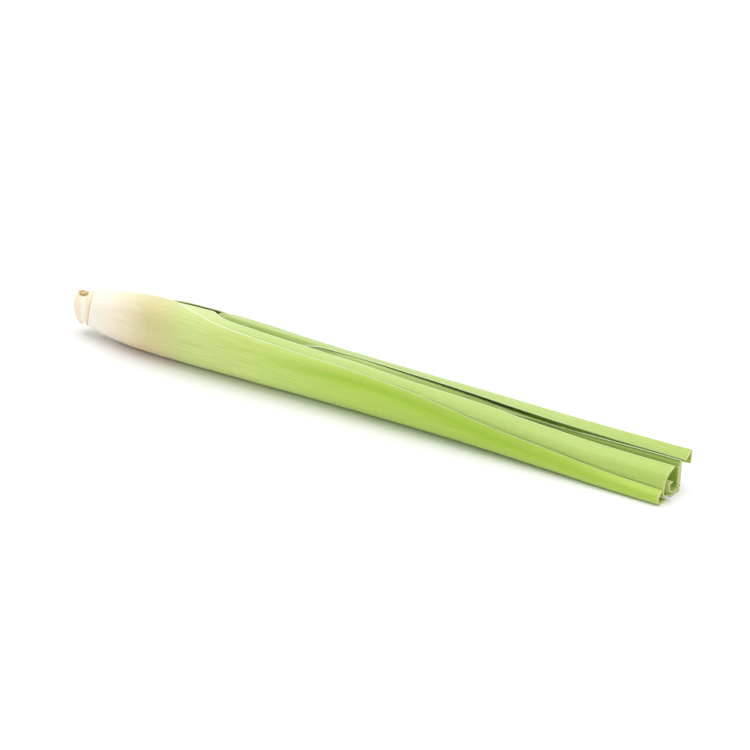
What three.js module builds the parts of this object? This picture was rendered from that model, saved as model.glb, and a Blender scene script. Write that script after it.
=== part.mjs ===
// A cut lemongrass stalk that lies on its side along X, on the plane z = 0, in millimetres.
// The short stem and its cut root face are at low X. Five leaves grow round the stem, each a
// rolled sheath low down that opens into a flat blade, and all are cut off square at high X.
// A station is a distance along the stalk from just inside the cut root face. An angle is in
// degrees round the stalk: 0 is the back (+Y), 90 the top, 180 the front, 270 the underside.
import * as THREE from 'three';

// Driving dimensions.
const LENGTH = 300;
const CUT_STATION = -1.5;
const RING_STATION = 5.2;
const STUB_RADIUS = 6.8;
const RING_RADIUS = 7.9;
const BULB_RADIUS = 12.9;
const MIDDLE_RADIUS = 11.4;
const WALL = 0.8;
const LAYER = 1.45;
const MARGIN_WALL = 0.38;
const OPENING_STATION = 150;
const UNDERSIDE = 270;
const SETTLED_SHARE = 0.95;
const BACK_WINDOW = [6, 30];
const TOP_WINDOW = [-20, -7];
const RIB_FROM = 0.6;

// How finely the surfaces are divided.
const STEPS_ROUND = 20;
const STEPS_LOW = 14;
const STEPS_HIGH = 12;
const LOW_PART_END = 105;
const STEM_STEPS = 24;
const NORMAL_STEP = 0.004;

const { degToRad, lerp, smoothstep } = THREE.MathUtils;

// A smooth curve of one value over the stations where it is given.
function graph(stations, values) {
  const curve = new THREE.CubicInterpolant(stations, values, 1);
  return (station) => curve.evaluate(station)[0];
}

// The whole stalk's outline: its radius and the height of its middle line.
const bundleRadius = graph(
  [0, RING_STATION, 9.5, 20, 35, 62, 92, 120, OPENING_STATION, LENGTH],
  [STUB_RADIUS, RING_RADIUS, 8.9, 10.6, 12.1, BULB_RADIUS, 12.7, 12, MIDDLE_RADIUS, 11.6]);
const middleHeight = graph(
  [CUT_STATION, RING_STATION, 20, 62, 92, 120, OPENING_STATION, 220, LENGTH],
  [10.1, 11.3, 11.7, SETTLED_SHARE * BULB_RADIUS, 12.07, 11.4, SETTLED_SHARE * MIDDLE_RADIUS,
    10.95, 11.2]);

// The cut root face and the ring slant: how far they run up the stalk for each millimetre to
// the front and to the top. The slant fades out up the bulb.
const frontSlant = graph([CUT_STATION, RING_STATION, 20, 34, 48], [0.4, 0.65, 0.42, 0.12, 0]);
const topSlant = graph([CUT_STATION, RING_STATION, 20, 34, 48], [-0.25, 0.18, 0.1, 0.03, 0]);

function slantedStation(station, y, height) {
  const above = height - middleHeight(station);
  return station - frontSlant(station) * y + topSlant(station) * above;
}

// One leaf: its layer, counted inwards from the outermost, the angles of its two long
// margins, the outline of its cut end as points (y, z) from first margin to last, and how
// far it has opened towards that outline. Where nothing covers the top leaf and the back
// leaf, they rise outwards by some layers. Until their margins are free, the second leaf
// holds down a share of that rise on top.
const LEAVES = [
  {
    name: 'outer_leaf',
    color: 0xa9c94a,
    layer: 0,
    start: 6.7,
    end: 299,
    first: graph([6, 40, 60, 72, 90, 110, 140, 170, LENGTH],
      [402, 406, 424, 424, 392, 340, 296, 284, 280]),
    last: graph([6, 25, 43, 55, 66, 85, 120, 150, 178, 200, 222, LENGTH],
      [36, 48, 61, 82, 104, 121, 128, 130, 135, 144, 153, 160]),
    open: graph([OPENING_STATION, 200, 250, 275, LENGTH], [0, 0.18, 0.6, 0.85, 1]),
    tip: [[-5, -0.07], [-8, -0.07], [-10.8, 0.2], [-12, 1.8], [-11.4, 3.9], [-8.7, 5.4]],
  },
  {
    name: 'second_leaf',
    color: 0xb5d05c,
    layer: 1,
    start: 10,
    end: 299,
    first: graph([10, 60, 100, 150, LENGTH], [330, 326, 290, 264, 250]),
    last: graph([10, 40, 55, 68, 80, 95, 146, 184, 222, 261, LENGTH],
      [30, 45, 55, 66, 93, 101, 103, 112, 116, 122, 128]),
    open: graph([OPENING_STATION, 200, 250, 275, LENGTH], [0, 0.22, 0.7, 0.9, 1]),
    tip: [[-3.5, 1.5], [-6, 1.6], [-8, 3.2], [-7.5, 6.6], [-5, 10.2], [0.3, 12.2]],
  },
  {
    name: 'top_leaf',
    color: 0x9cc03c,
    layer: 2,
    start: 15,
    end: LENGTH,
    first: graph([15, 69, 91, 115, 126, 145, 160, 187, 222, LENGTH],
      [100, 112, 117, 113, 100, 94, 93, 96, 100, 104]),
    last: graph([15, 60, 120, 150, 180, 220, LENGTH], [-215, -205, -120, -62, -46, -42, -42]),
    open: graph([OPENING_STATION, 200, 250, LENGTH], [0, 0.25, 0.75, 1]),
    tip: [[7.3, 12.4], [9.6, 13.9], [12, 15], [11.9, 13.2], [11.7, 11.4], [11.4, 9.6]],
    rise: graph([60, 78, LENGTH], [0, 2, 2]),
    held: 1,
    free: [122, 140],
  },
  {
    name: 'back_leaf',
    color: 0x6f9a2e,
    layer: 3,
    start: 20,
    end: 298.6,
    first: graph([20, 100, 180, 240, 270, LENGTH], [140, 132, 128, 124, 110, 90]),
    last: graph([20, 100, 200, LENGTH], [-160, -150, -140, -130]),
    open: graph([OPENING_STATION, 200, 250, LENGTH], [0, 0.3, 0.85, 1]),
    tip: [[6.4, 12.2], [6.4, 9], [6.2, 5], [5.8, 1.8], [4.4, 0], [-1.2, 0]],
    rib: 1.0,
    rise: graph([128, 152, LENGTH], [0, 2.2, 2.2]),
    held: 0.45,
    free: [250, 275],
  },
  {
    name: 'inner_leaf',
    color: 0xc6d67c,
    layer: 4,
    start: 27,
    end: 299.8,
    first: graph([27, 120, LENGTH], [300, 280, 250]),
    last: graph([27, 120, LENGTH], [20, 30, 60]),
    open: graph([OPENING_STATION, 200, 250, 275, LENGTH], [0, 0.22, 0.7, 0.9, 1]),
    tip: [[-2.6, 2.6], [-4.2, 3.2], [-5, 4.8], [-4.6, 6.4], [-3.2, 7.2], [-1.8, 6.8]],
  },
];

const [outerLeaf, secondLeaf] = LEAVES;

// How far a leaf has opened at a station, from 0 in the sheath to 1 at the cut end.
function openness(leaf, station) {
  return THREE.MathUtils.clamp(leaf.open(station), 0, 1);
}

// The rolled leaves have settled flat where they lie: a level strip along the underside.
function settledRadius(radius, angle) {
  const downward = Math.cos(degToRad(angle - UNDERSIDE));
  return downward > SETTLED_SHARE ? radius * SETTLED_SHARE / downward : radius;
}

// A leaf lies one layer deeper than the one outside it. It may rise in the window between
// the outer leaf's margin at the back and the second leaf's margin on top. The two sides of
// the window are given in degrees from those margins.
function layerDepth(leaf, station, angle) {
  if (!leaf.rise) return leaf.layer * LAYER;
  const backMargin = outerLeaf.first(station) - 360;
  const topMargin = secondLeaf.last(station);
  const besideBack = smoothstep(angle, ...BACK_WINDOW.map((side) => backMargin + side));
  const covered = 1 - smoothstep(station, ...leaf.free);
  const underTop = smoothstep(angle, ...TOP_WINDOW.map((side) => topMargin + side));
  const besideTop = 1 - leaf.held * covered * underTop;
  return (leaf.layer - leaf.rise(station) * besideBack * besideTop) * LAYER;
}

// A point on the outer face of a leaf: across runs from 0 at its first margin to 1.
function outerPoint(leaf, station, across) {
  const angle = lerp(leaf.first(station), leaf.last(station), across);
  const layered = bundleRadius(station) - layerDepth(leaf, station, angle);
  const radius = settledRadius(layered, angle);
  const wrapped = new THREE.Vector2(Math.cos(degToRad(angle)), Math.sin(degToRad(angle)));
  wrapped.multiplyScalar(radius);
  wrapped.y += middleHeight(station);
  return wrapped.lerp(leaf.tipCurve.getPoint(across), openness(leaf, station));
}

// The wall is thickest along the leaf's middle and thin at both margins.
function wallThickness(leaf, station, across) {
  const middle = Math.sqrt(Math.sin(Math.PI * across));
  const rib = (leaf.rib ?? 0) * openness(leaf, station) * smoothstep(middle, RIB_FROM, 1);
  return lerp(MARGIN_WALL, WALL, middle) + rib;
}

// Stations lie closer together in the low part, where the margins turn quickly.
function stationAt(leaf, along) {
  const step = along * (STEPS_LOW + STEPS_HIGH);
  if (step <= STEPS_LOW) return lerp(leaf.start, LOW_PART_END, step / STEPS_LOW);
  return lerp(LOW_PART_END, leaf.end, (step - STEPS_LOW) / STEPS_HIGH);
}

// A leaf is a flat slab of unit size, rolled up: its X runs along the stalk, its Y across
// the leaf from margin to margin, and its Z through the wall.
function leafGeometry(leaf) {
  const slab = new THREE.BoxGeometry(1, 1, 1, STEPS_LOW + STEPS_HIGH, STEPS_ROUND, 1);
  slab.deleteAttribute('uv');
  const positions = slab.getAttribute('position');
  for (let i = 0; i < positions.count; i += 1) {
    const station = stationAt(leaf, positions.getX(i) + 0.5);
    const across = THREE.MathUtils.clamp(positions.getY(i) + 0.5, 0, 1);
    const inside = positions.getZ(i) < 0;
    const point = outerPoint(leaf, station, across);
    if (inside) {
      const ahead = outerPoint(leaf, station, Math.min(across + NORMAL_STEP, 1));
      const behind = outerPoint(leaf, station, Math.max(across - NORMAL_STEP, 0));
      const tangent = ahead.sub(behind).normalize();
      const inward = new THREE.Vector2(tangent.y, -tangent.x);
      point.addScaledVector(inward, wallThickness(leaf, station, across));
    }
    positions.setXYZ(i, slantedStation(station, point.x, point.y), point.x, point.y);
  }
  slab.computeVertexNormals();
  return slab;
}

// The stem: the cut root face with a bevelled rim, the neck, the ring, and inside the
// sheaths a solid cone that each leaf grows from.
function stemGeometry() {
  const outline = [
    [0, -1], [4.4, -1], [5.2, CUT_STATION], [6.1, -1.3], [6.7, -0.5], [STUB_RADIUS, 0.6],
    [6.6, 2.6], [7.1, 3.7], [RING_RADIUS, RING_STATION], [7.7, 6.1], [6.5, 6.5], [6.2, 10],
    [5.2, 15], [4.4, 22], [3.9, 30], [2.6, 37], [0, 39],
  ].map(([radius, station]) => new THREE.Vector2(radius, station));
  const stem = new THREE.LatheGeometry(outline, STEM_STEPS);
  stem.deleteAttribute('uv');
  const positions = stem.getAttribute('position');
  for (let i = 0; i < positions.count; i += 1) {
    const station = positions.getY(i);
    const y = positions.getZ(i);
    const z = positions.getX(i) + middleHeight(station);
    positions.setXYZ(i, slantedStation(station, y, z), y, z);
  }
  stem.computeVertexNormals();
  return stem;
}

// A torn chip of dried sheath that curls up from the top of the neck.
const SCALE_START = -0.4;
const SCALE_LENGTH = 4;
const SCALE_ANGLES = [74, 112];
const SCALE_RADIUS = 7.6;
const SCALE_LIFT = 0.5;
const SCALE_WALL = 0.4;
const TORN_DEPTH = 0.5;
const TORN_WAVES = 1.4;

function dryScaleGeometry() {
  const slab = new THREE.BoxGeometry(1, 1, 1, 4, 5, 1);
  slab.deleteAttribute('uv');
  const positions = slab.getAttribute('position');
  for (let i = 0; i < positions.count; i += 1) {
    const along = positions.getX(i) + 0.5;
    const across = positions.getY(i) + 0.5;
    const tornEdge = TORN_DEPTH * Math.sin(across * TORN_WAVES * 2 * Math.PI);
    const station = SCALE_START + along * SCALE_LENGTH + (1 - along) * tornEdge;
    const angle = degToRad(lerp(SCALE_ANGLES[1], SCALE_ANGLES[0], across));
    const wall = positions.getZ(i) > 0 ? SCALE_WALL : 0;
    const radius = SCALE_RADIUS + SCALE_LIFT * (1 - along) ** 2 + wall;
    const y = radius * Math.cos(angle);
    const z = middleHeight(station) + radius * Math.sin(angle);
    positions.setXYZ(i, slantedStation(station, y, z), y, z);
  }
  slab.computeVertexNormals();
  return slab;
}

function finish(color, roughness) {
  return new THREE.MeshStandardMaterial({ color, roughness, metalness: 0 });
}

function piece(name, geometry, material) {
  const mesh = new THREE.Mesh(geometry, material);
  mesh.name = name;
  return mesh;
}

const stalk = new THREE.Group();
stalk.add(piece('stem_base', stemGeometry(), finish(0xe9dcbc, 0.6)));
stalk.add(piece('dry_scale', dryScaleGeometry(), finish(0xb98a4e, 0.9)));
for (const leaf of LEAVES) {
  leaf.tipCurve = new THREE.SplineCurve(leaf.tip.map(([y, z]) => new THREE.Vector2(y, z)));
  stalk.add(piece(leaf.name, leafGeometry(leaf), finish(leaf.color, 0.5)));
}

// The origin is the middle of the stalk's footprint on the plane it lies on.
const extent = new THREE.Box3().setFromObject(stalk);
const middle = extent.getCenter(new THREE.Vector3());
stalk.position.set(-middle.x, -middle.y, -extent.min.z);

export default stalk;
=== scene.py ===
# %% [markdown]
# # A cut lemongrass stalk
#
# This lesson dresses a lemongrass stalk: a short stem with a cut root face, and five leaves
# rolled round each other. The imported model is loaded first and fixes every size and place.
# Each plain solid is then replaced by a finely made piece that fills the same space.

# %% Load the frame and keep its box
import math

import bpy
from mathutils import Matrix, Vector, noise


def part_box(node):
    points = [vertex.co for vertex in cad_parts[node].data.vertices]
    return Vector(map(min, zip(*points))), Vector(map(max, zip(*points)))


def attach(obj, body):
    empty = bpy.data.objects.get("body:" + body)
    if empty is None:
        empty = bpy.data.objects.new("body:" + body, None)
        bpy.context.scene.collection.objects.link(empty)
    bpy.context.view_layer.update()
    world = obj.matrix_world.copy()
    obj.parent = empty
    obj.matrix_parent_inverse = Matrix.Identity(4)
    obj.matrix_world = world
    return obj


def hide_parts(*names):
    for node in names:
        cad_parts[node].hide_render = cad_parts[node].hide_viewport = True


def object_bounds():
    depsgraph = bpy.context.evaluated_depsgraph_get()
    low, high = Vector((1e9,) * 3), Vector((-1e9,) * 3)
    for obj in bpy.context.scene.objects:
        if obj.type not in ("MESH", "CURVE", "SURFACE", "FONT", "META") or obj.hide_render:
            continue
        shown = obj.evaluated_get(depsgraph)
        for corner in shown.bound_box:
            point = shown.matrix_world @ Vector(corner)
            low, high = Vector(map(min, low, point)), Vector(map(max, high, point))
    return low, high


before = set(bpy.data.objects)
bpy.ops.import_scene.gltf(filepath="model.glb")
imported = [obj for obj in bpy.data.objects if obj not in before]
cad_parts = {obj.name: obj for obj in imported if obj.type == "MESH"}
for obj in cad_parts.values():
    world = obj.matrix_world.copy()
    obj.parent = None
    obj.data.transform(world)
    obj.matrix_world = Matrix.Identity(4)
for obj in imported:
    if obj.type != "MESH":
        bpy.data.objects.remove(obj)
cad_low, cad_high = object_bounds()
print("frame box in mm:", [round(1000 * v, 1) for v in (*cad_low, *cad_high)])

# %% [markdown]
# ## Places along and round the stalk
#
# The real stalk is round and nearly straight, so every place on it needs only two numbers. A
# station is the distance in millimetres from just inside the cut root face, and an angle goes
# round the stalk: 0 is the back, 90 the top, 180 the front and 270 the underside. A few smooth
# graphs over the length then describe the whole plant, and a graph here is a cubic curve
# through the values that are given, like the curve between keyframes.

# %% Smooth graphs and outlines
MM = 0.001
LENGTH = 300.0
CUT_STATION = -1.5
ROOT_X = cad_high.x / MM - LENGTH


def graph(stations, values):
    """A smooth curve of one value over the stations where it is given."""
    last = len(stations) - 1

    def value_at(station):
        station = min(max(station, stations[0]), stations[-1])
        i = 0
        while i < last - 1 and station > stations[i + 1]:
            i += 1
        s0, s1 = stations[i], stations[i + 1]
        v0, v1 = values[i], values[i + 1]
        slope = (v1 - v0) / (s1 - s0)
        slope_in = slope if i == 0 else (v1 - values[i - 1]) / (s1 - stations[i - 1])
        slope_out = slope if i + 2 > last else (values[i + 2] - v0) / (stations[i + 2] - s0)
        t = (station - s0) / (s1 - s0)
        span = s1 - s0
        return (v0 * (2 * t ** 3 - 3 * t ** 2 + 1) + v1 * (3 * t ** 2 - 2 * t ** 3)
                + span * slope_in * (t ** 3 - 2 * t ** 2 + t) + span * slope_out * (t ** 3 - t ** 2))

    return value_at


def x_at(station):
    """The x of a station, in metres."""
    return (ROOT_X + station) * MM


def smoothstep(value, low, high):
    t = min(max((value - low) / (high - low), 0.0), 1.0)
    return t * t * (3 - 2 * t)


def outline_point(points, share):
    """A point on the smooth curve through a list of points, share running from 0 to 1."""
    along = share * (len(points) - 1)
    i = min(int(along), len(points) - 2)
    t = along - i
    before, p0, p1, after = (points[max(i - 1, 0)], points[i], points[i + 1],
                             points[min(i + 2, len(points) - 1)])
    return tuple(
        b + 0.5 * t * (c - a + t * (2 * a - 5 * b + 4 * c - d + t * (3 * (b - c) + d - a)))
        for a, b, c, d in zip(before, p0, p1, after))


bundle_radius = graph([0, 5.2, 9.5, 20, 35, 62, 92, 120, 150, LENGTH],
                      [6.8, 7.9, 8.9, 10.6, 12.1, 12.9, 12.7, 12, 11.4, 11.6])
middle_height = graph([CUT_STATION, 5.2, 20, 62, 92, 120, 150, 220, LENGTH],
                      [10.1, 11.3, 11.7, 12.26, 12.07, 11.4, 10.83, 10.95, 11.2])
print("the bulb is", round(2 * bundle_radius(62), 1), "mm thick at its widest")

# %% [markdown]
# ## The five leaves
#
# Each leaf of the real plant is one strip: low down it is a sheath, rolled right round the
# younger leaves, and further up its two long margins turn away from each other until it is a
# flat blade. So a leaf is described by the angle of each margin over the length, and by the
# outline of its cut end, as points across the stalk. The leaves lie in layers like the skins
# of an onion, counted inwards.

# %% Describe the leaves
LAYER = 0.95
SETTLED_SHARE = 0.95
MARGIN_WALL = 0.3

LEAVES = {
    "outer_leaf": dict(
        layer=0, start=6.2, end=299.0, wall=0.75, rows=230, columns=168,
        first=graph([6, 40, 60, 72, 90, 110, 140, 170, LENGTH],
                    [402, 406, 424, 424, 392, 340, 296, 284, 280]),
        last=graph([6, 25, 43, 55, 66, 85, 120, 150, 178, 200, 222, LENGTH],
                   [40, 58, 74, 87, 104, 121, 128, 130, 135, 144, 153, 160]),
        open=graph([150, 200, 250, 275, LENGTH], [0, 0.18, 0.6, 0.85, 1]),
        tip=[(-5, -0.07), (-8, -0.07), (-10.8, 0.2), (-12, 1.8), (-11.4, 3.9), (-8.7, 5.4)]),
    "second_leaf": dict(
        layer=1, start=10, end=299.0, wall=0.7, rows=230, columns=140,
        first=graph([10, 60, 100, 150, LENGTH], [330, 326, 290, 264, 250]),
        last=graph([10, 40, 55, 68, 80, 95, 146, 184, 222, 261, LENGTH],
                   [30, 40, 44, 54, 93, 101, 103, 112, 116, 122, 128]),
        open=graph([150, 200, 250, 275, LENGTH], [0, 0.22, 0.7, 0.9, 1]),
        tip=[(-3.5, 1.5), (-6, 1.6), (-8, 3.2), (-7.5, 6.6), (-5, 10.2), (0.3, 12.2)]),
    "top_leaf": dict(
        layer=2, start=15, end=299.85, wall=0.6, rows=230, columns=150,
        first=graph([15, 69, 91, 115, 126, 145, 160, 187, 222, LENGTH],
                    [100, 112, 117, 113, 100, 94, 93, 96, 100, 104]),
        last=graph([15, 60, 120, 150, 180, 220, LENGTH], [-215, -205, -120, -62, -46, -42, -42]),
        open=graph([150, 200, 250, LENGTH], [0, 0.25, 0.75, 1]),
        rise=graph([52, 68, LENGTH], [0, 2, 2]), held=1, free=(122, 140),
        tip=[(7.3, 12.4), (9.6, 13.9), (12, 15), (11.9, 13.2), (11.7, 11.4), (11.4, 9.6)]),
    "back_leaf": dict(
        layer=3, start=20, end=298.6, wall=0.7, rows=200, columns=110, rib=1.9,
        first=graph([20, 100, 180, 240, 270, LENGTH], [140, 132, 128, 124, 110, 90]),
        last=graph([20, 100, 200, LENGTH], [-160, -150, -140, -130]),
        open=graph([150, 200, 250, LENGTH], [0, 0.3, 0.85, 1]),
        rise=graph([108, 128, LENGTH], [0, 2.5, 2.5]), held=0.45, free=(250, 275),
        tip=[(6.4, 12.2), (6.4, 9), (6.2, 5), (5.8, 1.8), (4.4, 0), (-1.2, 0)]),
    "inner_leaf": dict(
        layer=4, start=27, end=299.8, wall=0.5, rows=180, columns=70,
        first=graph([27, 120, LENGTH], [300, 280, 250]),
        last=graph([27, 120, LENGTH], [20, 30, 60]),
        open=graph([150, 200, 250, 275, LENGTH], [0, 0.22, 0.7, 0.9, 1]),
        tip=[(-2.6, 2.6), (-4.2, 3.2), (-5, 4.8), (-4.6, 6.4), (-3.2, 7.2), (-1.8, 6.8)]),
}
print(len(LEAVES), "leaves")

# %% [markdown]
# ## From a place on a leaf to a point
#
# The same few rules hold for every leaf. It lies at its layer's radius, flattened a little
# on the underside where the stalk has settled on the table, and past the middle it turns
# smoothly from the rolled sheath into the outline of its cut end. Where no other leaf
# covers the top leaf and the back leaf, they rise outwards, in a window between the outer
# leaf's margin at the back and the second leaf's margin on top. The sides of the window are
# given in degrees from those margins. Near the root, the cut and the ring are slanted, so a
# place runs up the stalk a little towards the front.

# %% Work out points on a leaf
front_slant = graph([CUT_STATION, 5.2, 20, 34, 48], [0.4, 0.65, 0.42, 0.12, 0])
top_slant = graph([CUT_STATION, 5.2, 20, 34, 48], [-0.25, 0.18, 0.1, 0.03, 0])
BACK_WINDOW = (6, 30)
TOP_WINDOW = (-10, -1)
RING_HEIGHT = 3.4
FLOOR_GAP = 0.02


def openness(leaf, station):
    """How far a leaf has opened, from 0 in the sheath to 1 at the cut end."""
    return min(max(leaf["open"](station), 0.0), 1.0)


def slanted_x(station, y, height):
    """The x of a point in mm, with the slant of the cut root face and the ring."""
    above = height - middle_height(station)
    return ROOT_X + station - front_slant(station) * y + top_slant(station) * above


def layered_radius(leaf, station, angle):
    """The distance of a leaf's skin from the stalk's middle line, in mm."""
    layer = leaf["layer"]
    if "rise" in leaf:
        back_margin = LEAVES["outer_leaf"]["first"](station) - 360
        top_margin = LEAVES["second_leaf"]["last"](station)
        beside_back = smoothstep(angle, *(back_margin + side for side in BACK_WINDOW))
        under_top = smoothstep(angle, *(top_margin + side for side in TOP_WINDOW))
        covered = 1 - smoothstep(station, *leaf["free"])
        beside_top = 1 - leaf["held"] * covered * under_top
        layer -= leaf["rise"](station) * beside_back * beside_top
    radius = bundle_radius(station) - layer * LAYER
    downward = math.cos(math.radians(angle - 270))
    return radius * SETTLED_SHARE / downward if downward > SETTLED_SHARE else radius


# The frame has its origin under the middle of the whole stalk. The round stem shows how far
# that is from the stalk's own middle line: without lift, its lowest point is at RING_HEIGHT.
stem_low, stem_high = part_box("stem_base")
MIDDLE_Y = -(stem_low.y + stem_high.y) / 2 / MM
LIFT = stem_low.z / MM - RING_HEIGHT


def place(station, y, z):
    """A point of the stalk in the frame, in metres."""
    return Vector((slanted_x(station, y, z), y - MIDDLE_Y, max(z + LIFT, FLOOR_GAP))) * MM


def turn_at(leaf, station, across):
    """The angle round the stalk, where across runs from 0 at the first margin to 1."""
    return leaf["first"](station) * (1 - across) + leaf["last"](station) * across


def outer_point(leaf, station, across):
    """The y and z, in mm, of a point on the outer face of a leaf."""
    angle = turn_at(leaf, station, across)
    radius = layered_radius(leaf, station, angle)
    y = radius * math.cos(math.radians(angle))
    z = radius * math.sin(math.radians(angle)) + middle_height(station)
    end_y, end_z = outline_point(leaf["tip"], across)
    part = openness(leaf, station)
    return y + (end_y - y) * part, z + (end_z - z) * part


print("outer leaf halfway, in mm:", [round(v, 1) for v in outer_point(LEAVES["outer_leaf"], 150, 0.5)])

# %% [markdown]
# ## What the surface of a leaf does
#
# Close up, a grass leaf isn't smooth: fine veins run along it side by side and press up the
# skin, and the whole strip waves a little as it dries. The outer leaf also has a soft valley
# below its top margin, where the blade starts to fold open. These are real shapes, so they
# are modelled in the mesh and not left to a bump in the material.

# %% Relief of the leaf surface
VEIN_HEIGHT = 0.035
WAVE_HEIGHT = 0.16
VALLEY_DEPTH = 0.8
VALLEY_HALF_WIDTH = 2.2


def valley(leaf, station, across, width):
    """How deep in the outer leaf's valley a place is, from 0 to 1."""
    distance = (1 - across) * width - leaf["valley"](station)
    depth = smoothstep(station, 95, 150) * (1 - 0.6 * smoothstep(station, 230, 300))
    return depth * math.exp(-(distance / VALLEY_HALF_WIDTH) ** 2)


def relief(leaf, station, across, width, veins, seed):
    """How far the skin stands out from the smooth leaf, in mm."""
    ridge = abs(math.cos(math.pi * across * veins))
    wave = noise.noise(Vector((station * 0.02, across * width * 0.12, seed)))
    fine = noise.noise(Vector((station * 0.07, across * width * 0.45, seed + 20)))
    height = VEIN_HEIGHT * (ridge ** 3 - 1) + WAVE_HEIGHT * (wave - 0.5) + 0.05 * fine
    if "valley" in leaf:
        height -= VALLEY_DEPTH * valley(leaf, station, across, width)
    return height * smoothstep(station, leaf["start"], leaf["start"] + 12)


LEAVES["outer_leaf"]["valley"] = graph([95, 118, 150, 170, 262, LENGTH],
                                       [6.6, 6.5, 5.2, 4.2, 4, 3.6])
print("veins stand", VEIN_HEIGHT, "mm high")

# %% [markdown]
# ## Rolling a leaf
#
# A leaf could be cut from a solid, but it grows as a strip, and a strip is easiest to see
# the right way: a flat grid is added, with eight columns for each vein, and each of its points
# is then carried to its place round the stalk. Solidify gives the wall, inwards from the skin,
# and a vertex group thins it towards both margins. The inner face and the cut rim get
# material slots of their own, because the inside of a leaf is paler and the cut shows fibre.

# %% Build one leaf from a flat grid
NORMAL_STEP = 0.003
SHARP_ANGLE = math.radians(50)


def deselect_all():
    if bpy.context.object and bpy.context.object.mode != "OBJECT":
        bpy.ops.object.mode_set(mode="OBJECT")
    bpy.ops.object.select_all(action="DESELECT")


def store(piece, name, values):
    """Keeps one number for each point of a mesh, for its material to read."""
    attribute = piece.data.attributes.new(name, "FLOAT", "POINT")
    attribute.data.foreach_set("value", values)


def section_width(leaf, station):
    """The length of the leaf's section from margin to margin, in mm."""
    points = [outer_point(leaf, station, i / 12) for i in range(13)]
    return sum(math.dist(a, b) for a, b in zip(points, points[1:]))


def roll_leaf(name, leaf, seed):
    """Adds a flat grid, rolls it into the leaf and gives it its wall."""
    deselect_all()
    bpy.ops.mesh.primitive_grid_add(x_subdivisions=leaf["rows"], y_subdivisions=leaf["columns"],
                                    size=1, location=(0, 0, 0))
    piece = bpy.context.object
    piece.name = name
    veins = leaf["columns"] / 8
    thickest = leaf["wall"] + leaf.get("rib", 0)
    hollows = []
    turns = []
    widths = {}
    weights = piece.vertex_groups.new(name="wall")
    for vertex in piece.data.vertices:
        station = leaf["start"] + (vertex.co.x + 0.5) * (leaf["end"] - leaf["start"])
        across = min(max(vertex.co.y + 0.5, 0.0), 1.0)
        key = round(station, 2)
        if key not in widths:
            widths[key] = section_width(leaf, station)
        width = widths[key]
        y, z = outer_point(leaf, station, across)
        y1, z1 = outer_point(leaf, station, min(across + NORMAL_STEP, 1))
        y0, z0 = outer_point(leaf, station, max(across - NORMAL_STEP, 0))
        length = math.hypot(y1 - y0, z1 - z0)
        out_y, out_z = (z0 - z1) / length, (y1 - y0) / length
        height = relief(leaf, station, across, width, veins, seed)
        ragged = 0.25 * noise.noise(Vector((across * width * 1.4, seed, 3))) * smoothstep(
            station, leaf["end"] - 1.5, leaf["end"])
        hollows.append(valley(leaf, station, across, width) if "valley" in leaf else 0.0)
        turns.append(turn_at(leaf, station, across) / 360)
        vertex.co = place(station - abs(ragged), y + out_y * height, z + out_z * height)
        middle = math.sqrt(max(math.sin(math.pi * across), 0.0))
        rib = leaf.get("rib", 0) * openness(leaf, station) * smoothstep(middle, 0.35, 0.8)
        wall = MARGIN_WALL + (leaf["wall"] - MARGIN_WALL) * middle + rib
        weights.add([vertex.index], wall / thickest, "REPLACE")
    store(piece, "valley", hollows)
    store(piece, "turn", turns)
    solidify = piece.modifiers.new("wall", "SOLIDIFY")
    solidify.thickness = thickest * MM
    solidify.offset = -1
    solidify.vertex_group = "wall"
    solidify.material_offset = 1
    solidify.material_offset_rim = 2
    bpy.ops.object.modifier_apply(modifier="wall")
    bpy.ops.object.shade_smooth_by_angle(angle=SHARP_ANGLE)
    return piece


leaf_pieces = {}
for seed, (name, leaf) in enumerate(LEAVES.items()):
    leaf_pieces[name] = roll_leaf("rolled_" + name, leaf, 10.0 * seed)
    print(name, len(leaf_pieces[name].data.polygons), "faces")

# %% [markdown]
# ## The stem and its cut root face
#
# The stem is a short solid plug that the knife has cut at a slight slant, with a tan rim, a
# smooth white neck and the tan ring that the outer leaf grows from. It is round, so it is
# built as on a lathe: a circle is added at the rim, and each further edge is an extrusion
# that is moved along and scaled. Both ends close in a pole, at the face a little inside.

# %% Turn the stem from one circle
STEM_PROFILE = [
    (-0.6, 6.65), (0, 6.8), (0.6, 6.75), (1.6, 6.6), (2.7, 6.55), (3.4, 6.8), (3.9, 7.25),
    (4.4, 7.7), (5.2, 7.85), (5.8, 7.75), (6.2, 7.2), (6.45, 6.5), (10, 6.2), (15, 5.2),
    (22, 4.4), (30, 3.9), (36, 2.8), (38.6, 1.0),
]
FACE_PROFILE = [(-1.05, 6.35), (-1.35, 5.9), (-1.4, 5.3), (-1.15, 4.7), (-0.95, 3.7),
                (-0.95, 2.4), (-0.9, 1.2)]
STEM_SIDES = 96


def extrude_rings(profile):
    """From the selected rim, extrudes one ring for each (station, radius) of a profile."""
    station, radius = profile[0]
    for next_station, next_radius in profile[1:]:
        bpy.ops.mesh.extrude_edges_move(
            TRANSFORM_OT_translate={"value": ((next_station - station) * MM, 0, 0)})
        bpy.ops.transform.resize(value=(1, next_radius / radius, next_radius / radius),
                                 center_override=(0, 0, 0))
        station, radius = next_station, next_radius
    bpy.ops.mesh.merge(type="CENTER")


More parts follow.
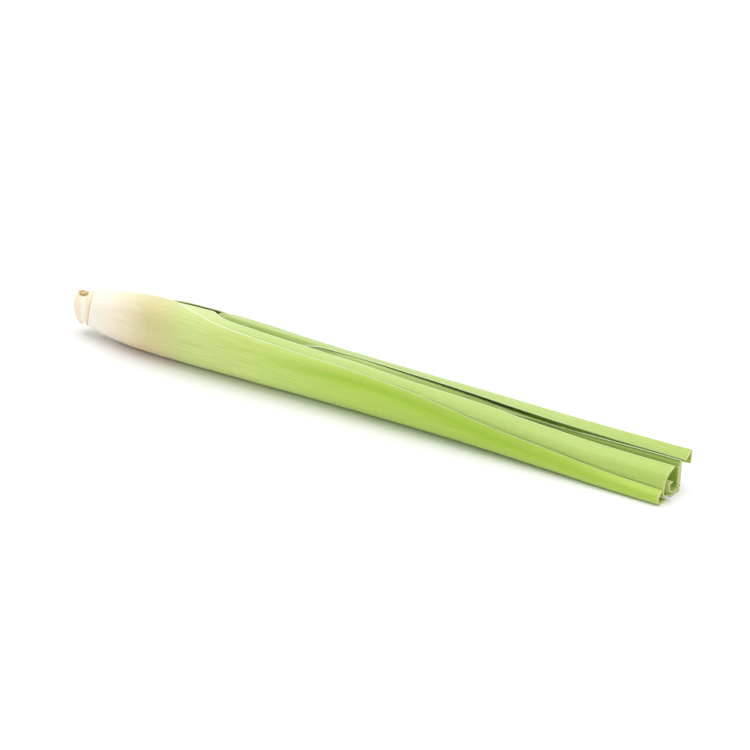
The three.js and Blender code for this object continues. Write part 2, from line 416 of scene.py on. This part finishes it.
def turn_stem():
    deselect_all()
    first_station, first_radius = STEM_PROFILE[0]
    bpy.ops.mesh.primitive_circle_add(vertices=STEM_SIDES, radius=first_radius * MM,
                                      location=(first_station * MM, 0, 0),
                                      rotation=(0, math.pi / 2, 0))
    piece = bpy.context.object
    piece.name = "turned_stem"
    bpy.ops.object.transform_apply(location=True, rotation=True, scale=True)
    bpy.ops.object.mode_set(mode="EDIT")
    bpy.ops.mesh.select_all(action="SELECT")
    extrude_rings(STEM_PROFILE)
    bpy.ops.mesh.select_all(action="DESELECT")
    bpy.ops.mesh.select_non_manifold()
    extrude_rings([STEM_PROFILE[0], *FACE_PROFILE])
    bpy.ops.mesh.select_all(action="SELECT")
    bpy.ops.mesh.normals_make_consistent(inside=False)
    bpy.ops.object.mode_set(mode="OBJECT")
    subdivide = piece.modifiers.new("fine", "SUBSURF")
    subdivide.levels = 1
    subdivide.render_levels = 1
    bpy.ops.object.modifier_apply(modifier="fine")
    return piece


stem = turn_stem()
print("stem:", len(stem.data.polygons), "faces")

# %% [markdown]
# ## Scars and dents of the stem
#
# Roots once grew from the cut end, and each left a small round scar inside the rim. The
# knife also leaves the face a little rough, and the neck isn't a perfect cylinder. The
# points of the turned stem are therefore moved a little, and then carried from the axis to
# the stem's place in the stalk. The mesh keeps how far along and from the axis each point
# was, because the finish changes with both.

# %% Put scars on the cut face and set the stem in its place
SCAR_COUNT = 11
SCAR_RING = 4.3


def scar_relief(y, z):
    """The height of the root scars over the cut face, in mm."""
    height = 0.0
    for i in range(SCAR_COUNT):
        turn = 2 * math.pi * (i + 0.3 * math.sin(i * 2.1)) / SCAR_COUNT
        ring = SCAR_RING + 0.5 * math.sin(i * 1.7)
        distance = math.dist((y, z), (ring * math.cos(turn), ring * math.sin(turn)))
        height += 0.3 * math.exp(-(distance / 0.55) ** 2) - 0.25 * math.exp(-(distance / 0.2) ** 2)
    return height


stations = []
radii = []
for vertex in stem.data.vertices:
    station, y, z = (v / MM for v in vertex.co)
    radius = math.hypot(y, z)
    stations.append(station)
    radii.append(radius)
    dent = noise.noise(Vector((station * 0.3, y * 0.22, z * 0.22)))
    swell = 1 + 0.02 * dent * smoothstep(radius, 3, 6)
    if station < -0.4 and radius < 6.2:
        rough = 0.12 * noise.noise(Vector((y * 1.1, z * 1.1, 5)))
        station -= (scar_relief(y, z) + rough) * smoothstep(6.2 - radius, 0, 0.8)
    vertex.co = place(station, y * swell, z * swell + middle_height(station))
store(stem, "station", stations)
store(stem, "radius", radii)
stem.data.update()
deselect_all()
stem.select_set(True)
bpy.context.view_layer.objects.active = stem
bpy.ops.object.shade_smooth_by_angle(angle=SHARP_ANGLE)
print("stem starts at x =", round(min(v.co.x for v in stem.data.vertices) / MM, 2), "mm")

# %% [markdown]
# ## The torn dry scale
#
# On top of the ring sits what is left of an older, dried leaf: a thin brown chip with a
# ragged edge that curls up. It is made as the leaves are, from a small grid that is laid
# over the neck, with its free edge torn by noise, and a thin wall from Solidify.

# %% Lay the scale over the neck
SCALE_START = 0.1
SCALE_LENGTH = 3.4
SCALE_FRONT_ANGLE = 106
SCALE_SPREAD = 27
SCALE_RADIUS = 7.2
SCALE_CURL = 0.35
SCALE_WALL = 0.28


def lay_scale():
    deselect_all()
    bpy.ops.mesh.primitive_grid_add(x_subdivisions=26, y_subdivisions=40, size=1,
                                    location=(0, 0, 0))
    piece = bpy.context.object
    piece.name = "torn_scale"
    for vertex in piece.data.vertices:
        along, across = vertex.co.x + 0.5, vertex.co.y + 0.5
        torn = 0.7 * noise.noise(Vector((across * 7, 0, 1))) + 0.3 * noise.noise(
            Vector((across * 26, 0, 2)))
        rounded = 1.2 * (2 * across - 1) ** 2
        station = SCALE_START + along * SCALE_LENGTH + (1 - along) * (torn + rounded)
        angle = math.radians(SCALE_FRONT_ANGLE - SCALE_SPREAD * across)
        crumple = 0.1 * noise.noise(Vector((along * 4, across * 9, 4)))
        radius = SCALE_RADIUS + SCALE_CURL * (1 - along) ** 2 + crumple
        vertex.co = place(station, radius * math.cos(angle),
                          middle_height(station) + radius * math.sin(angle))
    wall = piece.modifiers.new("wall", "SOLIDIFY")
    wall.thickness = SCALE_WALL * MM
    wall.offset = 1
    bpy.ops.object.modifier_apply(modifier="wall")
    bpy.ops.object.shade_smooth_by_angle(angle=math.radians(60))
    return piece


scale = lay_scale()
print("scale:", len(scale.data.polygons), "faces")

# %% [markdown]
# ## A bench for building materials
#
# Every material below is a chain of small nodes, so a helper holds the tree and adds nodes
# by a short name. It only saves typing: each call is what a person does in the shader
# editor.

# %% Helper for node trees
class Bench:
    """Adds nodes to one tree and joins them."""

    def __init__(self, tree):
        self.tree = tree

    def add(self, kind, inputs=None, **settings):
        node = self.tree.nodes.new(kind)
        for key, value in settings.items():
            setattr(node, key, value)
        for key, value in (inputs or {}).items():
            self.put(node.inputs[key], value)
        return node

    def put(self, socket, value):
        if isinstance(value, bpy.types.NodeSocket):
            self.tree.links.new(value, socket)
        else:
            socket.default_value = value

    def math(self, operation, a, b=0.0, clamp=False):
        node = self.add("ShaderNodeMath", {0: a, 1: b}, operation=operation, use_clamp=clamp)
        return node.outputs[0]

    def mask(self, value, low, high):
        """0 below low and 1 above high, with a soft step between; high may be the lower."""
        node = self.add("ShaderNodeMapRange", {"Value": value, "From Min": low, "From Max": high},
                        interpolation_type="SMOOTHSTEP")
        return node.outputs["Result"]

    def mix(self, share, a, b):
        node = self.add("ShaderNodeMix", data_type="RGBA")
        self.put(node.inputs[0], share)
        self.put(node.inputs[6], a)
        self.put(node.inputs[7], b)
        return node.outputs[2]

    def ramp(self, value, stops):
        node = self.add("ShaderNodeValToRGB", {"Fac": value})
        ramp = node.color_ramp
        while len(ramp.elements) < len(stops):
            ramp.elements.new(0.5)
        for element, (position, colour) in zip(ramp.elements, stops):
            element.position = position
            element.color = colour
        return node.outputs["Color"]

    def noise(self, vector, scale, detail=3.0, roughness=0.55):
        node = self.add("ShaderNodeTexNoise", {"Vector": vector, "Scale": scale,
                                               "Detail": detail, "Roughness": roughness})
        return node.outputs["Fac"]

    def stretch(self, vector, factors):
        node = self.add("ShaderNodeVectorMath", {0: vector, 1: factors}, operation="MULTIPLY")
        return node.outputs[0]

    def split(self, vector):
        return self.add("ShaderNodeSeparateXYZ", {0: vector})

    def object_spot(self):
        return self.add("ShaderNodeTexCoord").outputs["Object"]

    def kept(self, name):
        """A number that the mesh keeps for each point."""
        return self.add("ShaderNodeAttribute", attribute_name=name).outputs["Fac"]

    def shade(self, inputs, height, strength, distance=0.0002):
        """Ends the tree with a bump, a Principled shader and the output."""
        bump = self.add("ShaderNodeBump", {"Height": height, "Strength": strength,
                                           "Distance": distance})
        shader = self.add("ShaderNodeBsdfPrincipled", {**inputs, "Normal": bump.outputs["Normal"]})
        self.add("ShaderNodeOutputMaterial", {"Surface": shader.outputs["BSDF"]})


def new_material(name):
    """An empty material and the bench for its nodes."""
    material = bpy.data.materials.new(name)
    material.use_nodes = True
    material.node_tree.nodes.clear()
    return material, Bench(material.node_tree)


def rgb(red, green, blue):
    """A colour as a paint chart gives it, 0 to 255, turned into linear light."""
    def linear(value):
        share = value / 255
        return share / 12.92 if share <= 0.04045 else ((share + 0.055) / 1.055) ** 2.4
    return (linear(red), linear(green), linear(blue), 1.0)


print("bench ready")

# %% [markdown]
# ## Grain that every leaf shares
#
# Two effects are on all five leaves, so each is a node group. The first is the veins: thin
# lighter lines, side by side across the leaf, on the leaf's own UV map so that they follow
# it as it narrows. The second is the lengthwise streaks of the tissue between them: noise
# over the turn round the stalk that each leaf's mesh keeps, drawn out lengthwise, so that
# the streaks stay straight where the margins wander.

# %% Node groups for veins and streaks
def new_group(name, inputs, outputs):
    group = bpy.data.node_groups.new(name, "ShaderNodeTree")
    for socket_name, kind, default in inputs:
        socket = group.interface.new_socket(socket_name, in_out="INPUT", socket_type=kind)
        socket.default_value = default
    for socket_name, kind in outputs:
        group.interface.new_socket(socket_name, in_out="OUTPUT", socket_type=kind)
    bench = Bench(group)
    return group, bench, bench.add("NodeGroupInput"), bench.add("NodeGroupOutput")


def build_vein_group():
    group, bench, given, result = new_group(
        "leaf_veins", [("Veins", "NodeSocketFloat", 40.0)],
        [("Lines", "NodeSocketFloat"), ("Height", "NodeSocketFloat")])
    uv = bench.add("ShaderNodeUVMap").outputs["UV"]
    split = bench.split(uv)
    wander = bench.noise(bench.stretch(uv, (9.0, 14.0, 1.0)), 1.0, 2.0)
    across = bench.math("ADD", split.outputs["Y"], bench.math("MULTIPLY", wander, 0.012))
    swing = bench.math("PINGPONG", bench.math("MULTIPLY", across, given.outputs["Veins"]), 0.5)
    line = bench.mask(swing, 0.34, 0.5)
    weak = bench.noise(bench.stretch(uv, (5.0, 40.0, 1.0)), 1.0, 2.0)
    bench.put(result.inputs["Lines"], bench.math("MULTIPLY", line, bench.mask(weak, 0.3, 0.7)))
    bench.put(result.inputs["Height"], line)
    return group


def build_streak_group():
    group, bench, given, result = new_group(
        "lengthwise_streaks", [("Across", "NodeSocketFloat", 60.0)],
        [("Broad", "NodeSocketFloat"), ("Fine", "NodeSocketFloat"), ("Blotch", "NodeSocketFloat")])
    uv = bench.add("ShaderNodeUVMap").outputs["UV"]
    split = bench.split(uv)
    across = bench.math("MULTIPLY", bench.kept("turn"), given.outputs["Across"])
    along = bench.math("MULTIPLY", split.outputs["X"], 5.0)
    drawn = bench.add("ShaderNodeCombineXYZ", {"X": along, "Y": across}).outputs[0]
    bench.put(result.inputs["Broad"], bench.noise(drawn, 0.35, 2.0))
    bench.put(result.inputs["Fine"], bench.noise(drawn, 2.2, 4.0, 0.65))
    blotch = bench.noise(bench.stretch(bench.object_spot(), (60.0, 140.0, 140.0)), 1.0)
    bench.put(result.inputs["Blotch"], blotch)
    return group


vein_group = build_vein_group()
streak_group = build_streak_group()
print("groups:", [g.name for g in bpy.data.node_groups])

# %% [markdown]
# ## The skin of a leaf
#
# A lemongrass leaf has no green in the bulb, which grew under earth: it is cream there, goes
# through olive with a breath of pink, and is a clear yellow-green from a fifth of the way
# up. So the base colour is a ramp over the stalk's length, read from the object's place, mostly
# its X. Veins and streaks break it up, and the margin is a thin whitish line. Some colours are
# painted light: a deeper green in the outer leaf's valley is painted shade, the blush laid on
# more thickly under the bulb is partly painted shade, and a pale painted sheen where the skin
# is seen at a grazing angle stands in for the reflection of the white surroundings. A little
# light passes into the tissue and makes it glow.

# %% The leaf skin material
CREAM = rgb(255, 249, 236)
SHELL = rgb(252, 239, 216)
OLIVE = rgb(219, 209, 152)
MARGIN_WHITE = rgb(238, 243, 214)
# Painted shade for the deep part of the outer leaf's valley.
VALLEY_PAINTED_SHADE = rgb(158, 200, 40)


def leaf_skin(name, stops, dark, veins, end_station):
    """A leaf's outer skin: stops are (station, colour) over the length."""
    material, bench = new_material(name)
    split = bench.split(bench.object_spot())
    uv = bench.split(bench.add("ShaderNodeUVMap").outputs["UV"])
    veined = bench.add("ShaderNodeGroup", node_tree=vein_group)
    bench.put(veined.inputs["Veins"], float(veins))
    streaked = bench.add("ShaderNodeGroup", node_tree=streak_group)
    bench.put(streaked.inputs["Across"], veins * 1.6)
    drift = bench.math("MULTIPLY", bench.math("SUBTRACT", streaked.outputs["Blotch"], 0.5), 0.03)
    along = bench.math("ADD", split.outputs["X"], bench.math("MULTIPLY", split.outputs["Y"], 0.55))
    share = bench.add("ShaderNodeMapRange", {"Value": along, "From Min": x_at(0),
                                             "From Max": x_at(LENGTH)})
    share = bench.math("ADD", share.outputs["Result"], drift)
    base = bench.ramp(share, [(station / LENGTH, colour) for station, colour in stops])
    streaks = bench.math("MULTIPLY", bench.mask(streaked.outputs["Fine"], 0.38, 0.72), 0.35)
    green = bench.mask(split.outputs["X"], x_at(30), x_at(75))
    toned = bench.mix(bench.math("MULTIPLY", streaks, bench.math("ADD", green, 0.25)), base, dark)
    pale_lines = bench.math("MULTIPLY", veined.outputs["Lines"], 0.16)
    toned = bench.mix(pale_lines, toned, rgb(226, 238, 178))
    blush_place = bench.math("MULTIPLY", bench.mask(split.outputs["X"], x_at(16), x_at(34)),
                             bench.mask(split.outputs["X"], x_at(74), x_at(42)))
    blush_and_underside_shade = bench.math("MULTIPLY", blush_place, bench.mask(streaked.outputs["Broad"], 0.4, 0.62))
    # The pink-tan blush of the bulb is its own colour, but laying it on more thickly below 11 mm over
    # the table is painted shade of the bulb's underside.
    low = bench.mask(split.outputs["Z"], 11 * MM, 2 * MM)
    blush_and_underside_shade = bench.math("ADD", bench.math("MULTIPLY", blush_and_underside_shade, 0.14),
                       bench.math("MULTIPLY", bench.math("MULTIPLY", blush_place, low), 0.5),
                       clamp=True)
    toned = bench.mix(blush_and_underside_shade, toned, rgb(222, 184, 150))
    from_edge = bench.math("PINGPONG", uv.outputs["Y"], 0.5)
    edge = bench.mask(from_edge, 0.013, 0.003)
    toned = bench.mix(bench.math("MULTIPLY", edge, 0.75), toned, MARGIN_WHITE)
    # Painted shade: the outer leaf's valley is mixed towards a deeper green, as deep as the valley the
    # mesh keeps.
    toned = bench.mix(bench.math("MULTIPLY", bench.kept("valley"), 0.7), toned, VALLEY_PAINTED_SHADE)
    # Painted sheen: a pale colour is mixed in where the skin is seen at a grazing angle, standing in
    # for the reflection of the white surroundings.
    facing = bench.add("ShaderNodeLayerWeight", {"Blend": 0.25}).outputs["Facing"]
    painted_sheen = bench.math("MULTIPLY", bench.math("POWER", facing, 2.0), 0.5)
    toned = bench.mix(painted_sheen, toned, rgb(236, 243, 206))
    cut = bench.mask(split.outputs["X"], x_at(end_station - 0.9), x_at(end_station - 0.1))
    toned = bench.mix(bench.math("MULTIPLY", cut, 0.6), toned, rgb(222, 214, 150))
    rough = bench.math("ADD", bench.math("MULTIPLY", streaked.outputs["Blotch"], 0.16), 0.4)
    ridge = bench.math("ADD", bench.math("MULTIPLY", veined.outputs["Height"], 0.6),
                       streaked.outputs["Fine"])
    bench.shade({"Base Color": toned, "Roughness": rough, "Subsurface Weight": 0.12,
                 "Subsurface Radius": (0.9, 1.0, 0.35), "Subsurface Scale": 0.0012,
                 "Specular IOR Level": 0.42, "Sheen Weight": 0.05}, ridge, 0.25)
    return material


GREEN_STOPS = {
    "outer_leaf": [(6, CREAM), (22, SHELL), (32, rgb(236, 226, 190)), (42, OLIVE),
                   (52, rgb(214, 213, 144)), (66, rgb(210, 225, 141)), (100, rgb(207, 226, 124)),
                   (150, rgb(190, 216, 90)), (215, rgb(178, 208, 72)), (300, rgb(192, 217, 96))],
    "second_leaf": [(40, rgb(226, 224, 176)), (60, rgb(214, 226, 160)), (100, rgb(198, 217, 128)),
                    (180, rgb(190, 212, 116)), (250, rgb(186, 209, 112)), (300, rgb(180, 206, 96))],
    "top_leaf": [(40, rgb(226, 216, 170)), (56, rgb(212, 214, 150)), (75, rgb(184, 204, 122)),
                 (150, rgb(174, 198, 108)), (230, rgb(182, 206, 112)), (300, rgb(184, 208, 104))],
    # The back leaf darkens towards its cut end: partly its own deeper green and partly painted shade
    # of the groove between the second and top leaves.
    "back_leaf": [(100, rgb(196, 212, 132)), (200, rgb(182, 204, 110)), (260, rgb(168, 196, 92)),
                  (300, rgb(150, 180, 70))],
    "inner_leaf": [(100, rgb(228, 232, 180)), (240, rgb(214, 226, 146)), (300, rgb(206, 220, 126))],
}
DARK_GREEN = {
    "outer_leaf": rgb(150, 190, 44), "second_leaf": rgb(160, 196, 78),
    # The back leaf's dark streak colour is darker than the others', partly painted shade.
    "top_leaf": rgb(146, 182, 58), "back_leaf": rgb(104, 142, 38), "inner_leaf": rgb(176, 198, 90),
}
skins = {name: leaf_skin(name + "_skin", GREEN_STOPS[name], DARK_GREEN[name],
                         leaf["columns"] / 4, leaf["end"])
         for name, leaf in LEAVES.items()}
print("skins:", sorted(skins))

# %% [markdown]
# ## Inner faces and cut fibre
#
# The inside of a leaf never saw the sun. It is paler and smoother, with the same veins. The
# rim of the strip shows the tissue itself: along the margins it is thin and whitish, and on
# the knife's cut it dries cream to brown, with the ends of the fibre bundles as dark dots.

# %% The lining and the cut rim
def leaf_lining(name, near, far, veins):
    material, bench = new_material(name)
    split = bench.split(bench.object_spot())
    veined = bench.add("ShaderNodeGroup", node_tree=vein_group)
    bench.put(veined.inputs["Veins"], float(veins))
    streaked = bench.add("ShaderNodeGroup", node_tree=streak_group)
    share = bench.mask(split.outputs["X"], x_at(60), x_at(200))
    toned = bench.mix(share, near, far)
    toned = bench.mix(bench.math("MULTIPLY", streaked.outputs["Fine"], 0.3), toned,
                      rgb(236, 242, 200))
    toned = bench.mix(bench.math("MULTIPLY", veined.outputs["Lines"], 0.25), toned, rgb(236, 242, 205))
    rough = bench.math("ADD", bench.math("MULTIPLY", streaked.outputs["Blotch"], 0.15), 0.36)
    bench.shade({"Base Color": toned, "Roughness": rough, "Subsurface Weight": 0.1,
                 "Subsurface Radius": (0.9, 1.0, 0.35), "Subsurface Scale": 0.001},
                veined.outputs["Height"], 0.2)
    return material


def cut_rim(name, margin, cut_light, cut_dark, brown, end_station):
    material, bench = new_material(name)
    spot = bench.object_spot()
    split = bench.split(spot)
    dots = bench.noise(bench.stretch(spot, (300.0, 2400.0, 2400.0)), 1.0, 3.0)
    patches = bench.noise(bench.stretch(spot, (200.0, 380.0, 380.0)), 1.0, 2.0)
    end = bench.mask(split.outputs["X"], x_at(end_station - 1.4), x_at(end_station - 0.8))
    fibre = bench.mix(bench.math("MULTIPLY", bench.mask(patches, 0.35, 0.62), brown), cut_light,
                      cut_dark)
    fibre = bench.mix(bench.math("MULTIPLY", bench.mask(dots, 0.5, 0.68), 0.5), fibre,
                      rgb(118, 92, 52))
    green = bench.mask(split.outputs["X"], x_at(30), x_at(90))
    edge = bench.mix(green, rgb(246, 236, 212), margin)
    edge = bench.mix(bench.math("MULTIPLY", bench.mask(patches, 0.5, 0.75), 0.3), edge,
                     rgb(210, 200, 150))
    toned = bench.mix(end, edge, fibre)
    rough = bench.math("ADD", bench.math("MULTIPLY", dots, 0.2), 0.55)
    bench.shade({"Base Color": toned, "Roughness": rough, "Subsurface Weight": 0.1,
                 "Subsurface Radius": (1.0, 0.9, 0.5), "Subsurface Scale": 0.001}, dots, 0.5)
    return material


LINING_GREEN = {name: rgb(186, 212, 104) for name in LEAVES}
# The back leaf's lining is darker than the others', partly painted shade of the groove where its inner
# face shows.
LINING_GREEN["back_leaf"] = rgb(172, 200, 92)
CUT_FIBRE = {name: (rgb(236, 228, 178), rgb(196, 164, 104), 0.5) for name in LEAVES}
CUT_FIBRE["back_leaf"] = (rgb(178, 160, 104), rgb(128, 104, 66), 0.9)
for name, leaf in LEAVES.items():
    lining = leaf_lining(name + "_lining", rgb(238, 238, 206), LINING_GREEN[name],
                         leaf["columns"] / 4)
    rim = cut_rim(name + "_rim", MARGIN_WHITE, *CUT_FIBRE[name], leaf["end"])
    for material in (skins[name], lining, rim):
        leaf_pieces[name].data.materials.append(material)
print("leaf materials set")

# %% [markdown]
# ## Stem and scale finishes
#
# The stem is cream and matt, tan where it dried: on the cut rim, round the ring and on the
# root scars. Masks on the distance along and from the axis, which the mesh keeps, find
# these places. The scale is dry and brown, darker where it is old.

# %% The stem and scale materials
def stem_finish():
    material, bench = new_material("stem_tissue")
    spot = bench.object_spot()
    radius = bench.kept("radius")
    ragged = bench.noise(bench.stretch(spot, (420.0, 420.0, 420.0)), 1.0, 4.0)
    wander = bench.math("MULTIPLY", bench.math("SUBTRACT", ragged, 0.5), 1.1)
    station = bench.math("ADD", bench.kept("station"), wander)
    patches = bench.noise(bench.stretch(spot, (150.0, 260.0, 260.0)), 1.0, 3.0)
    fine = bench.noise(bench.stretch(spot, (500.0, 1500.0, 1500.0)), 1.0, 4.0)
    base = bench.mix(bench.mask(patches, 0.35, 0.7), rgb(255, 251, 242), rgb(252, 242, 222))
    rim = bench.math("MULTIPLY", bench.mask(station, 1.9, 1.3), bench.mask(radius, 5.0, 6.0))
    toned = bench.mix(bench.math("MULTIPLY", rim, 0.7), base, rgb(246, 226, 188))
    ring = bench.math("MULTIPLY", bench.mask(station, 3.3, 3.9), bench.mask(station, 6.6, 6.0))
    toned = bench.mix(bench.math("MULTIPLY", ring, 0.75), toned, rgb(249, 228, 186))
    crack = bench.math("MULTIPLY", bench.mask(station, 5.4, 6.0), bench.mask(fine, 0.46, 0.6))
    toned = bench.mix(bench.math("MULTIPLY", crack, 0.55), toned, rgb(222, 180, 126))
    face = bench.math("MULTIPLY", bench.mask(radius, 6.2, 5.6), bench.mask(station, 0.4, -0.2))
    face_colour = bench.mix(bench.mask(fine, 0.4, 0.7), rgb(226, 200, 152), rgb(186, 146, 96))
    toned = bench.mix(bench.math("MULTIPLY", face, 0.9), toned, face_colour)
    scars = bench.math("MULTIPLY", face, bench.mask(patches, 0.45, 0.6))
    toned = bench.mix(bench.math("MULTIPLY", scars, 0.5), toned, rgb(146, 104, 62))
    rough = bench.math("ADD", bench.math("MULTIPLY", fine, 0.2), 0.5)
    bench.shade({"Base Color": toned, "Roughness": rough, "Subsurface Weight": 0.15,
                 "Subsurface Radius": (1.0, 0.8, 0.5), "Subsurface Scale": 0.0012}, fine, 0.3)
    return material


def scale_finish():
    material, bench = new_material("dry_sheath")
    spot = bench.object_spot()
    fibres = bench.noise(bench.stretch(spot, (500.0, 3000.0, 800.0)), 1.0, 4.0)
    patches = bench.noise(bench.stretch(spot, (600.0, 420.0, 420.0)), 1.0, 2.0)
    toned = bench.mix(bench.mask(patches, 0.4, 0.6), rgb(232, 188, 122), rgb(150, 140, 84))
    toned = bench.mix(bench.math("MULTIPLY", bench.mask(fibres, 0.4, 0.65), 0.6), toned,
                      rgb(232, 196, 132))
    rough = bench.math("ADD", bench.math("MULTIPLY", fibres, 0.2), 0.65)
    bench.shade({"Base Color": toned, "Roughness": rough}, fibres, 0.5, 0.0003)
    return material


stem.data.materials.append(stem_finish())
scale.data.materials.append(scale_finish())
print("stem and scale materials set")

# %% [markdown]
# ## Joining the frame
#
# Each piece is listed with the plain solid it stands for, and that solid is hidden. The
# stalk has no joint, so every piece rides on the one body.

# %% Ride and replace
joined = [(piece, name, name) for name, piece in leaf_pieces.items()]
joined += [(stem, "stem_base", "stem"), (scale, "dry_scale", "dry_scale")]
for piece, node, slot in joined:
    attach(piece, "root")
    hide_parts(node)

# %% [markdown]
# ## Table, light and camera
#
# The stalk lies on a plain white table, as in a light tent: the world lights it evenly from
# all sides, a very broad lamp above makes the tops of the leaves a little brighter than
# their steep sides, and the table throws light back up on the belly. The camera stands in
# front, towards the cut leaf ends, and looks down on the stalk.

# %% Set the table and the lights
TABLE_COLOUR = (0.93, 0.935, 0.95, 1)
TENT_STRENGTH = 0.74
LAMP_STRENGTH = 1.7
LAMP_SPREAD = math.radians(75)
LAMP_TURN = (math.radians(-14), math.radians(-8), 0)


def add_table():
    deselect_all()
    bpy.ops.mesh.primitive_plane_add(size=8, location=(0, 0, 0))
    table = bpy.context.object
    table.name = "table"
    material = bpy.data.materials.new("white_table")
    material.use_nodes = True
    shader = material.node_tree.nodes["Principled BSDF"]
    shader.inputs["Base Color"].default_value = TABLE_COLOUR
    shader.inputs["Roughness"].default_value = 0.6
    table.data.materials.append(material)


def add_light():
    world = bpy.data.worlds.new("light_tent")
    world.use_nodes = True
    world.node_tree.nodes["Background"].inputs["Color"].default_value = (1, 1, 1, 1)
    world.node_tree.nodes["Background"].inputs["Strength"].default_value = TENT_STRENGTH
    bpy.context.scene.world = world
    bpy.ops.object.light_add(type="SUN", location=(0, 0, 1), rotation=LAMP_TURN)
    lamp = bpy.context.object
    lamp.name = "soft_key"
    lamp.data.energy = LAMP_STRENGTH
    lamp.data.angle = LAMP_SPREAD


add_table()
add_light()
bpy.context.scene.view_settings.view_transform = "Standard"
print("light set")

# %% Set the camera
CAMERA_AZIMUTH = 36.55
CAMERA_ELEVATION = 22.13
CAMERA_DISTANCE = 1.0
CAMERA_LENS = 117.3
PAN, TILT = -0.59, -0.17


def camera_back(azimuth, elevation):
    """The direction from the stalk towards a camera at these angles, in degrees."""
    a, e = math.radians(azimuth), math.radians(elevation)
    return Vector((math.sin(a) * math.cos(e), -math.cos(a) * math.cos(e), math.sin(e)))


bpy.ops.object.camera_add(location=Vector((0, 0, 0.01)) + CAMERA_DISTANCE * camera_back(
    CAMERA_AZIMUTH, CAMERA_ELEVATION))
camera = bpy.context.object
camera.rotation_mode = "QUATERNION"
looking = camera_back(CAMERA_AZIMUTH + PAN, CAMERA_ELEVATION + TILT)
camera.rotation_quaternion = looking.to_track_quat("Z", "Y")
camera.data.lens = CAMERA_LENS
camera.data.clip_start = 0.01
bpy.context.scene.camera = camera
print("camera at", [round(v, 3) for v in camera.location])
